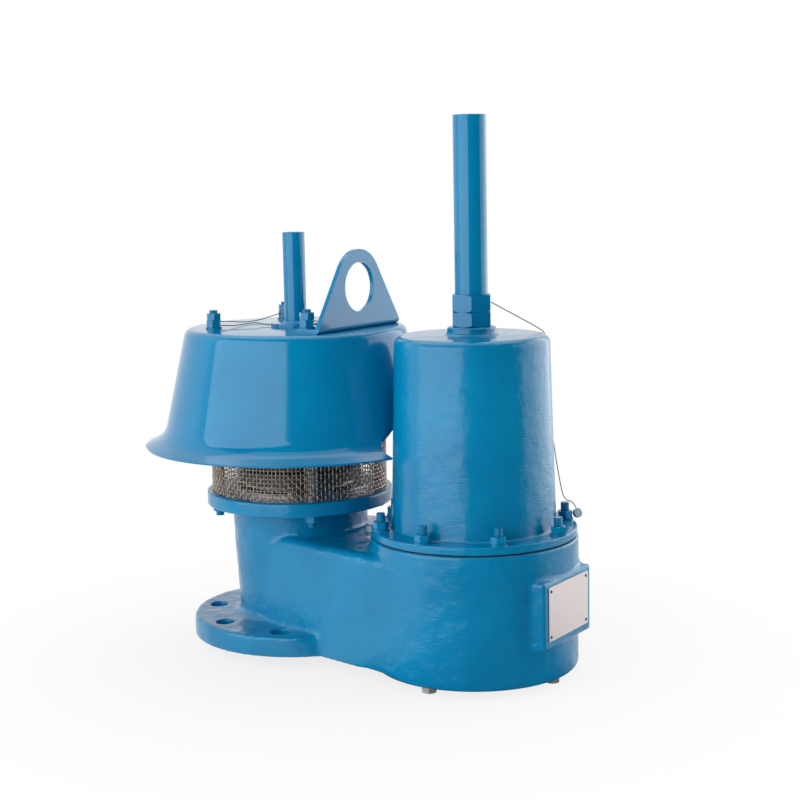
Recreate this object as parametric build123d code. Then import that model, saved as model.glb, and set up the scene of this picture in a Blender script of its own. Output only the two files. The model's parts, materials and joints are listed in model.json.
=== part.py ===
# Pressure and vacuum relief valve for a storage tank, flanged underneath.
# The left column vents pressure under a rain hood, the right chamber lets air in.
# Origin: centre of the tank flange's bottom face. +Z up, +X towards the vacuum chamber.
# Every length is in millimetres.
from build123d import *
import math
import os

os.makedirs("parts", exist_ok=True)

# Tank flange, DN100 PN16
flange_radius = 110.0
flange_thickness = 20.0
flange_bolt_circle = 180.0
flange_bolt_count = 8
flange_hole_radius = 9.0
port_radius = 50.0

# Column between the tank flange and the pressure seat
column_foot_radius = 63.3
column_top_radius = 68.8
column_foot_fillet = 8.0
column_bore_radius = 58.0
seat_flange_height = 146.5
seat_flange_thickness = 14.0
seat_flange_radius = 93.3

# Vacuum chamber and the passage that joins it to the column
chamber_distance = 205.0
chamber_radius = 98.0
chamber_wall = 8.0
chamber_height = 119.5
chamber_drop = 5.0
chamber_floor_top = 11.0
chamber_bottom_fillet = 6.0
rim_inner_radius = 80.0
rim_depth = 15.0
passage_height = 108.0
passage_wall = 8.0
passage_floor_cover = 6.0
passage_edge_fillet = 8.0
mating_flange_clearance = 1.0

# Flat pad for the nameplate
pad_width = 90.0
pad_height = 62.0
pad_centre_height = 61.0
pad_rise = 1.5
pad_draft = 8.0
pad_fillet = 3.0
plate_width = 76.0
plate_height = 50.0
plate_thickness = 0.9
plate_rise = 1.8
rivet_radius = 1.5
rivet_head_height = 0.9
rivet_inset = 4.0

# Seats, spiders and pallets
seat_spigot_radius = 57.8
pressure_spigot_depth = 14.0
seat_ring_radius = 72.0
seat_ring_thickness = 5.0
seat_lip_width = 3.0
pressure_lip_rise = 15.0
pressure_lift = 28.0
vacuum_lift = 28.0
seat_screw_circle = 130.0
seat_screw_count = 6
seat_screw_radius = 2.5
seat_screw_head_radius = 4.25
seat_screw_head_height = 3.0
seat_screw_length = 9.0
spider_arm_width = 6.0
spider_arm_height = 9.0
spider_arm_count = 3
spider_hub_radius = 15.0
bush_wall = 3.5
bush_length = 14.0
pallet_radius = 62.0
pallet_thickness = 6.0
pallet_skirt_depth = 6.0
pallet_skirt_wall = 3.0
seal_width = 9.0
seal_thickness = 3.0
seal_proud = 1.0
pressure_stem_radius = 5.0
pressure_stem_top = 352.0
pressure_weight_radius = 50.0
pressure_weight_thickness = 8.0
pressure_weight_count = 4
vacuum_stem_radius = 6.0
vacuum_stem_top = 455.0
vacuum_weight_radius = 58.0
vacuum_weight_thickness = 10.0
vacuum_weight_count = 6
stem_collar_height = 5.0
stem_collar_width = 5.0
stem_collar_gap = 2.0
stem_engagement = 6.0
stem_tail_clearance = 1.0
weight_nut_height = 8.0
weight_nut_flats = 24.0

# Mesh guard round the pressure pallet
guard_radius = 88.2
guard_wall = 0.9
guard_hoop_height = 2.0
guard_columns = 36
guard_rows = 6
guard_bar = 2.2

# Rain hood
hood_top_height = 309.0
hood_sheet = 2.0
hood_top_radius = 109.5
hood_corner_radius = 8.0
hood_skirt_radius = 133.4
hood_skirt_height = 203.4
hood_flare_radius = 14.0
hood_brim_radius = 152.6
hood_brim_height = 194.0
notch_radius = 65.0
notch_distance = 186.0

# Hood tie studs, spacers and nuts
tie_count = 4
tie_start_angle = 45.0
spacer_wall = 1.2
spacer_guard_gap = 0.4
tie_stud_overhang = 3.0

# Short guide tube on the hood
hood_tube_radius = 11.0
hood_tube_wall = 2.0
hood_tube_top = 402.0
hood_tube_depth = 8.0
hood_collar_radius = 25.0
hood_collar_thickness = 3.5
tube_cap_thickness = 4.0

# Lifting lug: bent plate on the hood top
lug_thickness = 4.5
lug_face_distance = 79.0
lug_half_width = 68.0
lug_foot_length = 32.0
lug_bend_radius = 5.0
lug_eye_radius = 24.0
lug_eye_height = 349.5
lug_outer_radius = 36.5

# Cover of the vacuum chamber
cover_flange_thickness = 7.0
cover_flange_radius = 97.0
cover_foot_radius = 77.5
cover_top_radius = 72.4
cover_top_height = 308.0
cover_wall = 6.0
cover_corner_radius = 8.0
gasket_thickness = 1.5
gasket_setback = 1.5
gasket_inner_radius = 81.0
cover_bolt_circle = 178.8
cover_bolt_count = 8
cover_stud_depth = 13.0
cover_stud_overhang = 8.0
cover_collar_radius = 23.0
cover_collar_rise = 8.0

# Tall guide tube on the cover
nipple_radius = 13.0
nipple_wall = 4.0
nipple_flange_radius = 20.0
nipple_flange_thickness = 4.0
hex_flats = 35.0
lower_hex_height = 13.8
upper_hex_height = 16.2
hex_turn_angle = 1.0
guide_tube_radius = 15.3
guide_tube_wall = 2.6
guide_tube_top = 509.2
guide_tube_seat = 8.0

# Screen under the vacuum chamber
screen_recess_depth = 4.0
screen_recess_radius = 90.0
screen_thickness = 1.0
screen_mesh_radius = 74.0
screen_bar = 2.4
screen_pitch = 12.0
retaining_ring_inner = 72.0
screen_bolt_circle = 165.0
screen_bolt_count = 4
screen_bolt_depth = 8.0

# Standard M8 fasteners
m8_radius = 4.0
m8_flats = 13.0
m8_nut_height = 6.8
m8_head_height = 5.3
washer_radius = 8.0
washer_thickness = 1.6

# Seal wires and the lead seal
wire_radius = 0.6
lead_seal_radius = 4.5
lead_seal_thickness = 3.0

# Clearances
fit_gap = 0.15
running_gap = 0.05
edge_break = 0.8

axis_column = (0.0, 0.0)
axis_chamber = (chamber_distance, 0.0)
chamber_floor_under = screen_recess_depth - chamber_drop
seat_bore_radius = port_radius
stud_hole_radius = m8_radius + fit_gap
spacer_radius = stud_hole_radius + spacer_wall
tie_circle = 2 * (guard_radius - guard_wall - spacer_guard_gap - spacer_radius)
gasket_top = chamber_height + gasket_thickness
cover_flange_top = gasket_top + cover_flange_thickness
cover_collar_top = cover_top_height + cover_collar_rise
lower_hex_top = cover_collar_top + lower_hex_height
upper_hex_top = lower_hex_top + upper_hex_height
nipple_top = upper_hex_top - guide_tube_seat
cover_ceiling = cover_top_height - cover_wall
hood_ceiling = hood_top_height - hood_sheet
seat_flange_under = seat_flange_height - seat_flange_thickness
# The vacuum seat stands just high enough for its stem to end above the screen.
vacuum_spigot_depth = chamber_floor_top - chamber_floor_under
vacuum_lip_rise = (
    stem_tail_clearance + stem_engagement + vacuum_lift + stem_collar_gap + stem_collar_height
    - seal_proud - vacuum_spigot_depth
)
pressure_lip = seat_flange_height + pressure_lip_rise
vacuum_lip = chamber_floor_top + vacuum_lip_rise


def turned(corners, rounds=None, at=(0.0, 0.0)):
    """Solid turned about a vertical axis from (radius, height) corners; rounds maps corner to fillet radius."""
    outline = make_face(Polyline(*[(r, 0, z) for r, z in corners], close=True))
    for index, radius in (rounds or {}).items():
        r, z = corners[index]
        corner = outline.vertices().sort_by_distance((r, 0, z))[0]
        outline = fillet(corner, radius)
    return Pos(at[0], at[1], 0) * revolve(outline, Axis.Z)


def disc(radius, bottom, top, at=(0.0, 0.0)):
    """Solid cylinder between two heights."""
    return Pos(at[0], at[1], bottom) * Cylinder(
        radius, top - bottom, align=(Align.CENTER, Align.CENTER, Align.MIN)
    )


def ring(outer, inner, bottom, top, at=(0.0, 0.0)):
    """Flat ring between two heights."""
    return disc(outer, bottom, top, at) - disc(inner, bottom - 1, top + 1, at)


def around(circle, count, start=0.0, centre=(0.0, 0.0)):
    """Points evenly spaced on a bolt circle of the given diameter."""
    angles = [math.radians(start + 360.0 * i / count) for i in range(count)]
    return [
        (centre[0] + circle / 2 * math.cos(a), centre[1] + circle / 2 * math.sin(a))
        for a in angles
    ]


def drill(solid, points, radius, bottom, top):
    """Round vertical holes at the given points."""
    return solid - [disc(radius, bottom, top, point) for point in points]


def hexagon(flats, bottom, height, turn=0.0, bore=0.0, at=(0.0, 0.0)):
    """Hexagon nut or head with chamfered corners, bored through when bore is given."""
    corner = flats / math.sqrt(3)
    chamfer_rise = (corner - flats / 2) * 0.6
    prism = Rot(0, 0, turn) * extrude(RegularPolygon(corner, 6), height)
    rounding = turned([
        (0, 0),
        (flats / 2, 0),
        (corner, chamfer_rise),
        (corner, height - chamfer_rise),
        (flats / 2, height),
        (0, height),
    ])
    nut = prism & rounding
    if bore:
        nut -= disc(bore, -1, height + 1)
    return Pos(at[0], at[1], bottom) * nut


def group(solids):
    """Separate solids kept together as one node."""
    return Compound(children=list(solids))


def save(name, shape):
    export_step(shape, f"parts/{name}.step")


# Where the fasteners stand
tie_points = around(tie_circle, tie_count, tie_start_angle)
cover_points = around(cover_bolt_circle, cover_bolt_count, 0.0, axis_chamber)
screen_points = around(screen_bolt_circle, screen_bolt_count, 0.0, axis_chamber)
flange_points = around(flange_bolt_circle, flange_bolt_count, 180.0 / flange_bolt_count)


def tangent_block(near_radius, far_radius, bottom, top, edge_fillet=0.0):
    """Block whose side walls touch a circle at the column and one at the chamber."""
    lean = math.asin((far_radius - near_radius) / chamber_distance)
    near = (-near_radius * math.sin(lean), near_radius * math.cos(lean))
    far = (chamber_distance - far_radius * math.sin(lean), far_radius * math.cos(lean))
    outline = Polygon(
        (near[0], near[1]),
        (near[0], -near[1]),
        (far[0], -far[1]),
        (far[0], far[1]),
        align=None,
    )
    block = Pos(0, 0, bottom) * extrude(outline, top - bottom)
    if edge_fillet:
        upper = block.faces().sort_by(Axis.Z)[-1]
        long_edges = upper.edges().sort_by(SortBy.LENGTH)[-2:]
        block = fillet(long_edges, edge_fillet)
    return block


def nameplate_pad():
    """Drafted pad on the far side of the chamber."""
    face_x = chamber_distance + chamber_radius + pad_rise
    root_x = chamber_distance + chamber_radius * 0.8
    depth = face_x - root_x
    spread = depth * math.tan(math.radians(pad_draft))
    root = Plane(origin=(root_x, 0, pad_centre_height), x_dir=(0, 1, 0), z_dir=(1, 0, 0))
    face = root.offset(depth)
    pad = loft([
        root * Rectangle(pad_width + 2 * spread, pad_height + 2 * spread),
        face * Rectangle(pad_width, pad_height),
    ])
    front = pad.faces().sort_by(Axis.X)[-1]
    return fillet(front.edges(), pad_fillet)


def body_casting():
    """Casting: tank flange, column, pressure seat flange, passage and vacuum chamber."""
    column = turned(
        [
            (0, 0),
            (flange_radius, 0),
            (flange_radius, flange_thickness),
            (column_foot_radius, flange_thickness),
            (column_top_radius, seat_flange_under),
            (seat_flange_radius, seat_flange_under),
            (seat_flange_radius, seat_flange_height),
            (0, seat_flange_height),
        ],
        {2: edge_break, 3: column_foot_fillet, 4: 4 * edge_break, 5: edge_break, 6: edge_break},
    )
    chamber = turned(
        [
            (0, -chamber_drop),
            (chamber_radius, -chamber_drop),
            (chamber_radius, chamber_height),
            (0, chamber_height),
        ],
        {1: chamber_bottom_fillet, 2: edge_break},
        axis_chamber,
    )
    chamber -= disc(flange_radius + mating_flange_clearance, -chamber_drop - 1, 0)
    passage = tangent_block(
        column_foot_radius, chamber_radius, 0, passage_height, passage_edge_fillet
    )
    body = column + chamber + passage + nameplate_pad()

    passage_floor = flange_thickness + passage_floor_cover
    passage_ceiling = passage_height - passage_wall
    chamber_inner = chamber_radius - chamber_wall
    column_cavity = turned([
        (0, -1),
        (port_radius, -1),
        (port_radius, flange_thickness),
        (column_bore_radius, passage_ceiling),
        (column_bore_radius, seat_flange_height + 1),
        (0, seat_flange_height + 1),
    ])
    rim_under = chamber_height - rim_depth
    chamber_cavity = turned(
        [
            (0, chamber_floor_top),
            (chamber_inner, chamber_floor_top),
            (chamber_inner, rim_under - (chamber_inner - rim_inner_radius)),
            (rim_inner_radius, rim_under),
            (rim_inner_radius, chamber_height + 1),
            (0, chamber_height + 1),
        ],
        at=axis_chamber,
    )
    passage_cavity = tangent_block(
        port_radius, chamber_inner, passage_floor, passage_ceiling
    )
    spigot_hole = disc(
        seat_spigot_radius + fit_gap, chamber_floor_under - 1, chamber_floor_top + 1, axis_chamber
    )
    screen_recess = disc(screen_recess_radius, -chamber_drop - 1, chamber_floor_under, axis_chamber)
    body -= column_cavity + chamber_cavity + passage_cavity + spigot_hole + screen_recess

    screw_depth = seat_screw_length - seat_ring_thickness
    holes = []
    for points, radius, bottom, top in (
        (flange_points, flange_hole_radius, -1, flange_thickness),
        (tie_points, stud_hole_radius, seat_flange_under - 1, seat_flange_height + 1),
        (cover_points, stud_hole_radius, chamber_height - cover_stud_depth, chamber_height + 1),
        (screen_points, stud_hole_radius, chamber_floor_under - 1,
         chamber_floor_under + screen_bolt_depth),
        (around(seat_screw_circle, seat_screw_count), seat_screw_radius + fit_gap,
         seat_flange_height - screw_depth, seat_flange_height + 1),
        (around(seat_screw_circle, seat_screw_count, 0.0, axis_chamber),
         seat_screw_radius + fit_gap, chamber_floor_top - screw_depth, chamber_floor_top + 1),
    ):
        holes += [disc(radius, bottom, top, point) for point in points]
    return body - holes


def bush_top(lip):
    """Top of the lower stem guide, just below the stem collar at rest."""
    return lip + seal_proud - stem_collar_height - stem_collar_gap


def seat_ring(base, foot, lip, stem_radius, at):
    """Seat ring with its spigot, raised lip and the spider that carries the stem guide."""
    lip_outer = seat_bore_radius + seat_lip_width
    shoulder = base + seat_ring_thickness
    seat = turned([
        (seat_bore_radius, foot),
        (seat_spigot_radius, foot),
        (seat_spigot_radius, base),
        (seat_ring_radius, base),
        (seat_ring_radius, shoulder),
        (lip_outer + seat_lip_width, shoulder),
        (lip_outer, lip - seat_lip_width),
        (lip_outer - seat_lip_width / 3, lip),
        (seat_bore_radius, lip),
    ])
    reach = seat_bore_radius + seat_lip_width
    arm = Pos(0, 0, foot) * Box(
        reach, spider_arm_width, spider_arm_height, align=(Align.MIN, Align.CENTER, Align.MIN)
    )
    for i in range(spider_arm_count):
        seat += Rot(0, 0, 90 + 360.0 * i / spider_arm_count) * arm
    hub_top = bush_top(lip)
    bush_radius = stem_radius + bush_wall + fit_gap
    seat += disc(spider_hub_radius, foot, hub_top)
    seat -= disc(stem_radius + bush_wall / 2, foot - 1, hub_top + 1)
    seat -= disc(bush_radius, hub_top - bush_length, hub_top + 1)
    points = around(seat_screw_circle, seat_screw_count)
    seat = drill(seat, points, seat_screw_radius + fit_gap, foot, shoulder + 1)
    return Pos(at[0], at[1], 0) * seat


def seat_screws(base, at):
    """Cap screws that hold a seat ring down."""
    head_bottom = base + seat_ring_thickness
    tip = head_bottom - seat_screw_length
    screws = []
    for point in around(seat_screw_circle, seat_screw_count, 0.0, at):
        head = disc(seat_screw_head_radius, head_bottom, head_bottom + seat_screw_head_height, point)
        screws.append(head + disc(seat_screw_radius, tip, head_bottom, point))
    return group(screws)


def guide_bush(bottom, length, stem_radius, outer_radius, at):
    """Plain bush with a running fit on the stem."""
    return ring(outer_radius, stem_radius + running_gap, bottom, bottom + length, at)


def pallet(lip, stem_radius, at):
    """Pallet plate with a drip skirt and a groove for its seal."""
    under = lip + seal_proud
    top = under + pallet_thickness
    seal_middle = seat_bore_radius + seat_lip_width / 2
    groove = seal_width / 2 + fit_gap
    bore = stem_radius + fit_gap
    skirt_inner = pallet_radius - pallet_skirt_wall
    plate = turned(
        [
            (bore, under),
            (seal_middle - groove, under),
            (seal_middle - groove, under + seal_thickness - seal_proud),
            (seal_middle + groove, under + seal_thickness - seal_proud),
            (seal_middle + groove, under),
            (skirt_inner, under),
            (skirt_inner, under - pallet_skirt_depth),
            (pallet_radius, under - pallet_skirt_depth),
            (pallet_radius, top),
            (bore, top),
        ],
        {8: 2 * edge_break},
    )
    return Pos(at[0], at[1], 0) * plate


def pallet_seal(lip, at):
    """Soft seal ring in the pallet groove, resting on the seat lip."""
    middle = seat_bore_radius + seat_lip_width / 2
    return ring(
        middle + seal_width / 2, middle - seal_width / 2, lip, lip + seal_thickness, at
    )


def stem(lip, lift, top, radius, at):
    """Stem with the collar that carries the pallet; its tail stays guided at full lift."""
    under = lip + seal_proud
    collar = radius + stem_collar_width
    tail = bush_top(lip) - lift - stem_engagement
    rod = turned(
        [
            (0, tail),
            (radius, tail),
            (radius, under - stem_collar_height),
            (collar, under - stem_collar_height),
            (collar, under),
            (radius, under),
            (radius, top),
            (0, top),
        ],
        {1: edge_break, 6: edge_break},
    )
    return Pos(at[0], at[1], 0) * rod


def weights(lip, radius, thickness, count, stem_radius, at):
    """Stack of loose load discs on the pallet."""
    bottom = lip + seal_proud + pallet_thickness
    stack = []
    for i in range(count):
        low = bottom + i * thickness
        high = low + thickness
        bore = stem_radius + fit_gap
        plate = turned(
            [(bore, low), (radius, low), (radius, high), (bore, high)],
            {1: edge_break, 2: edge_break},
            at,
        )
        stack.append(plate)
    return group(stack)


def weight_nut(lip, thickness, count, stem_radius, at):
    """Nut that clamps the load discs."""
    bottom = lip + seal_proud + pallet_thickness + count * thickness
    return hexagon(weight_nut_flats, bottom, weight_nut_height, 0, stem_radius + fit_gap, at)


def mesh_guard():
    """Guard cage between the seat flange and the hood: coarse bars stand for the woven mesh."""
    outer = guard_radius
    inner = guard_radius - guard_wall
    bottom = seat_flange_height
    top = hood_ceiling
    cage = ring(outer, inner, bottom, top)
    window_width = 2 * math.pi * guard_radius / guard_columns - guard_bar
    clear = top - bottom - 2 * guard_hoop_height
    window_height = clear / guard_rows - guard_bar
    windows = []
    for row in range(guard_rows):
        middle = bottom + guard_hoop_height + (row + 0.5) * clear / guard_rows
        window = Pos(guard_radius, 0, middle) * Box(8 * guard_wall, window_width, window_height)
        for i in range(guard_columns):
            windows.append(Rot(0, 0, 360.0 * (i + 0.5) / guard_columns) * window)
    return cage - windows


def hood():
    """Spun hood: flat top, tapering skirt and flared brim, notched beside the cover."""
    skirt_run = hood_skirt_radius - hood_top_radius
    skirt_drop = hood_top_height - hood_skirt_height
    skirt_lean = math.atan2(skirt_run, skirt_drop)
    brim_fall = math.atan2(hood_skirt_height - hood_brim_height, hood_brim_radius - hood_skirt_radius)
    below = hood_brim_height - 4 * hood_sheet
    outside = turned(
        [
            (0, hood_top_height),
            (hood_top_radius, hood_top_height),
            (hood_skirt_radius, hood_skirt_height),
            (hood_brim_radius, hood_brim_height),
            (hood_brim_radius, below),
            (0, below),
        ],
        {1: hood_corner_radius, 2: hood_flare_radius},
    )
    # The inner face runs parallel to the outer one, one sheet thickness inside.
    corner_shift = hood_sheet * math.tan((math.pi / 2 - skirt_lean) / 2)
    inner_top_radius = hood_top_radius - corner_shift
    flare_half = (math.pi / 2 - skirt_lean - brim_fall) / 2
    bisector = math.pi / 2 - skirt_lean - flare_half
    reach = hood_sheet / math.cos(flare_half)
    inner_skirt_radius = hood_skirt_radius - reach * math.sin(bisector)
    inner_skirt_height = hood_skirt_height - reach * math.cos(bisector)
    run_out = 2 * hood_sheet
    inside = turned(
        [
            (0, hood_ceiling),
            (inner_top_radius, hood_ceiling),
            (inner_skirt_radius, inner_skirt_height),
            (
                hood_brim_radius + run_out,
                inner_skirt_height
                - (hood_brim_radius + run_out - inner_skirt_radius) * math.tan(brim_fall),
            ),
            (hood_brim_radius + run_out, below - 1),
            (0, below - 1),
        ],
        {1: hood_corner_radius - hood_sheet, 2: hood_flare_radius + hood_sheet},
    )
    shell = outside - inside
    shell -= disc(notch_radius, below - 1, hood_top_height + 1, (notch_distance, 0))
    shell -= disc(hood_tube_radius + fit_gap, hood_ceiling - 1, hood_top_height + 1)
    return drill(shell, tie_points, stud_hole_radius, hood_ceiling - 1, hood_top_height + 1)


def lug_sits_on(point):
    """True where a tie stud passes through the foot of the lifting lug."""
    return point[0] > lug_face_distance - lug_foot_length


def tie_nut_base(point):
    """Height of the surface under the top washer of a tie stud."""
    return hood_top_height + (lug_thickness if lug_sits_on(point) else 0.0)


def tie_studs():
    """Studs that clamp the hood down on its spacers."""
    nut_pack = washer_thickness + 2 * m8_nut_height + tie_stud_overhang
    low = seat_flange_under - washer_thickness - m8_nut_height - tie_stud_overhang
    return group(disc(m8_radius, low, tie_nut_base(p) + nut_pack, p) for p in tie_points)


def tie_spacers():
    """Tubes inside the guard that hold the hood at its height."""
    return group(
        ring(spacer_radius, stud_hole_radius, seat_flange_height, hood_ceiling, p)
        for p in tie_points
    )


def tie_top_nuts():
    """A nut and a lock nut on each stud, above the hood."""
    nuts = []
    for p in tie_points:
        first = tie_nut_base(p) + washer_thickness
        for level in (0, 1):
            nuts.append(
                hexagon(m8_flats, first + level * m8_nut_height, m8_nut_height, 15 * level,
                        stud_hole_radius, p)
            )
    return group(nuts)


def tie_top_washers():
    return group(
        ring(washer_radius, stud_hole_radius, tie_nut_base(p), tie_nut_base(p) + washer_thickness, p)
        for p in tie_points
    )


def tie_lower_nuts():
    """Nuts under the seat flange."""
    bottom = seat_flange_under - m8_nut_height
    return group(
        hexagon(m8_flats, bottom, m8_nut_height, 20, stud_hole_radius, p) for p in tie_points
    )


def lifting_lug():
    """Bent plate: a foot under two tie nuts and an upright tab with a round lifting eye."""
    foot_top = hood_top_height + lug_thickness
    back = lug_face_distance - lug_thickness
    tab_plane = Plane(origin=(back, 0, 0), x_dir=(0, 1, 0), z_dir=(1, 0, 0))
    # Straight flanks leave the base corners and touch the round head.
    rise = lug_eye_height - foot_top
    span = math.hypot(lug_half_width, rise)
    swing = math.atan2(rise, lug_half_width) + math.asin(lug_outer_radius / span)
    flank = math.sqrt(span**2 - lug_outer_radius**2)
    touch = (
        lug_half_width - flank * math.cos(swing),
        foot_top + flank * math.sin(swing),
    )
    flanks = Polygon(
        (lug_half_width, hood_top_height),
        (lug_half_width, foot_top),
        touch,
        (-touch[0], touch[1]),
        (-lug_half_width, foot_top),
        (-lug_half_width, hood_top_height),
        align=None,
    )
    head = Pos(0, lug_eye_height) * Circle(lug_outer_radius)
    eye = Pos(0, lug_eye_height) * Circle(lug_eye_radius)
    tab = extrude(tab_plane * (flanks + head - eye), lug_thickness)
    foot = Pos(lug_face_distance - lug_foot_length, 0, hood_top_height) * Box(
        lug_foot_length, 2 * lug_half_width, lug_thickness,
        align=(Align.MIN, Align.CENTER, Align.MIN),
    )
    lug = tab + foot
    bend = [
        e for e in lug.edges().filter_by(Axis.Y)
        if abs(e.center().X - lug_face_distance) < 0.01 and abs(e.center().Z - hood_top_height) < 0.01
    ]
    lug = fillet(bend, lug_bend_radius - 0.6)
    foot_corners = [
        e for e in lug.edges().filter_by(Axis.Z)
        if abs(e.center().X - (lug_face_distance - lug_foot_length)) < 0.01
    ]
    lug = fillet(foot_corners, lug_bend_radius)
    held = [p for p in tie_points if lug_sits_on(p)]
    return drill(lug, held, stud_hole_radius, hood_top_height - 1, foot_top + 1)


def hood_tube_collar():
    """Flat collar that closes the hole in the hood round the guide tube."""
    return ring(
        hood_collar_radius,
        hood_tube_radius + fit_gap,
        hood_top_height,
        hood_top_height + hood_collar_thickness,
    )


def hood_guide_tube():
    return ring(
        hood_tube_radius,
        hood_tube_radius - hood_tube_wall,
        hood_ceiling - hood_tube_depth,
        hood_tube_top,
    )


def hood_tube_cap():
    inner = hood_tube_radius - hood_tube_wall - fit_gap
    return disc(inner, hood_tube_top - tube_cap_thickness, hood_tube_top)


def cover():
    """Bell-shaped cast cover with its bolting flange and the collar for the tube."""
    outside = turned(
        [
            (0, gasket_top),
            (cover_flange_radius, gasket_top),
            (cover_flange_radius, cover_flange_top),
            (cover_foot_radius, cover_flange_top),
            (cover_top_radius, cover_top_height),
            (cover_collar_radius, cover_top_height),
            (cover_collar_radius, cover_collar_top),
            (0, cover_collar_top),
        ],
        {2: edge_break, 3: 2 * edge_break, 4: cover_corner_radius, 5: 4 * edge_break, 6: 2 * edge_break},
    )
    inside = turned(
        [
            (0, gasket_top - 1),
            (cover_foot_radius - cover_wall, gasket_top - 1),
            (cover_foot_radius - cover_wall, cover_flange_top),
            (cover_top_radius - cover_wall, cover_ceiling),
            (0, cover_ceiling),
        ],
        {3: cover_corner_radius - cover_wall / 2},
    )
    bell = outside - inside
    bell -= disc(nipple_radius + fit_gap, cover_ceiling - 1, cover_collar_top + 1)
    bell = Pos(*axis_chamber, 0) * bell
    return drill(bell, cover_points, stud_hole_radius, gasket_top - 1, cover_flange_top + 1)


def cover_gasket():
    outer = cover_flange_radius - gasket_setback
    gasket = ring(outer, gasket_inner_radius, chamber_height, gasket_top, axis_chamber)
    return drill(gasket, cover_points, stud_hole_radius, chamber_height - 1, gasket_top + 1)


def cover_studs():
    low = chamber_height - cover_stud_depth
    high = cover_flange_top + washer_thickness + m8_nut_height + cover_stud_overhang
    return group(disc(m8_radius, low, high, p) for p in cover_points)


def cover_washers():
    top = cover_flange_top + washer_thickness
    return group(ring(washer_radius, stud_hole_radius, cover_flange_top, top, p) for p in cover_points)


def cover_nuts():
    bottom = cover_flange_top + washer_thickness
    return group(
        hexagon(m8_flats, bottom, m8_nut_height, 7 * i, stud_hole_radius, p)
        for i, p in enumerate(cover_points)
    )


def guide_nipple():
    """Threaded nipple through the cover; its flange hangs under the cover's ceiling."""
    inner = nipple_radius - nipple_wall
    low = cover_ceiling - nipple_flange_thickness
    return turned(
        [
            (inner, low),
            (nipple_flange_radius, low),
            (nipple_flange_radius, cover_ceiling),
            (nipple_radius, cover_ceiling),
            (nipple_radius, nipple_top),
            (inner, nipple_top),
        ],
        at=axis_chamber,
    )


def lower_hex():
    """Lock nut that pulls the nipple up against the cover."""
    return hexagon(
        hex_flats, cover_collar_top, lower_hex_height, hex_turn_angle, nipple_radius + fit_gap,
        axis_chamber,
    )


def upper_hex():
    """Hexagon socket on the nipple; the tall tube stands in it."""
    socket = hexagon(
        hex_flats, lower_hex_top, upper_hex_height, hex_turn_angle, nipple_radius + fit_gap,
        axis_chamber,
    )
    return socket - disc(guide_tube_radius + fit_gap, nipple_top, upper_hex_top + 1, axis_chamber)


def guide_tube():
    inner = guide_tube_radius - guide_tube_wall
    return ring(guide_tube_radius, inner, nipple_top, guide_tube_top, axis_chamber)


def guide_tube_cap():
    inner = guide_tube_radius - guide_tube_wall - fit_gap
    return disc(inner, guide_tube_top - tube_cap_thickness, guide_tube_top, axis_chamber)


def bottom_screen():
    """Screen across the air intake: a rim that the ring clamps, and a square grid of bars."""
    low = chamber_floor_under - screen_thickness
    outer = screen_recess_radius - fit_gap
    plate = disc(outer, low, chamber_floor_under, axis_chamber)
    reach = int(screen_mesh_radius // screen_pitch)
    opening = screen_pitch - screen_bar
    windows = []
    for i in range(-reach, reach + 1):
        for j in range(-reach, reach + 1):
            x = i * screen_pitch
            y = j * screen_pitch
            if math.hypot(abs(x) + opening / 2, abs(y) + opening / 2) < screen_mesh_radius:
                window = Box(opening, opening, 4 * screen_thickness)
                windows.append(Pos(chamber_distance + x, y, low) * window)
    return drill(
        plate - windows, screen_points, stud_hole_radius, low - 1, chamber_floor_under + 1
    )


def screen_ring():
    """Ring that clamps the screen's rim in the recess under the chamber."""
    top = chamber_floor_under - screen_thickness
    outer = screen_recess_radius - fit_gap
    clamp = ring(outer, retaining_ring_inner, -chamber_drop, top, axis_chamber)
    return drill(clamp, screen_points, stud_hole_radius, -chamber_drop - 1, top + 1)


def screen_washers():
    low = -chamber_drop - washer_thickness
    return group(ring(m8_flats / 2 + edge_break, stud_hole_radius, low, -chamber_drop, p)
                 for p in screen_points)


def screen_bolts():
    """Hexagon bolts from below, through the ring and the screen into the chamber floor."""
    head_top = -chamber_drop - washer_thickness
    tip = chamber_floor_under + screen_bolt_depth - 1
    bolts = []
    for p in screen_points:
        head = hexagon(m8_flats, head_top - m8_head_height, m8_head_height, 0, 0, p)
        bolts.append(head + disc(m8_radius, head_top - 1, tip, p))
    return group(bolts)


def nameplate():
    """Bare plate held off the pad by its rivets."""
    face_x = chamber_distance + chamber_radius + pad_rise
    plate = Pos(face_x, 0, pad_centre_height + plate_rise) * Box(
        plate_thickness, plate_width, plate_height, align=(Align.MIN, Align.CENTER, Align.CENTER)
    )
    return fillet(plate.edges().filter_by(Axis.X), rivet_radius)


def nameplate_rivets():
    face_x = chamber_distance + chamber_radius + pad_rise + plate_thickness
    rivets = []
    for side in (-1, 1):
        for level in (-1, 1):
            y = side * (plate_width / 2 - rivet_inset)
            z = pad_centre_height + plate_rise + level * (plate_height / 2 - rivet_inset)
            dome = Pos(face_x, y, z) * Rot(0, 90, 0) * Cone(
                rivet_radius, rivet_radius * 0.6, rivet_head_height,
                align=(Align.CENTER, Align.CENTER, Align.MIN),
            )
            rivets.append(dome)
    return group(rivets)


def wire(points):
    """Thin wire along straight runs joined by tangent arcs as large as the runs allow."""
    points = [Vector(*p) for p in points]
    runs = [(b - a) for a, b in zip(points, points[1:])]
    radii = []
    for before, after in zip(runs, runs[1:]):
        half_turn = math.radians(before.get_angle(after)) / 2
        radii.append(0.45 * min(before.length, after.length) / math.tan(half_turn))
    path = FilletPolyline(*points, radius=radii)
    section = Plane(origin=path @ 0, z_dir=path % 0) * Circle(wire_radius)
    tube = sweep(section, path=path)
    print(f"wire length {path.length:.1f}, tightest bend {min(radii):.1f}")
    return tube


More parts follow.
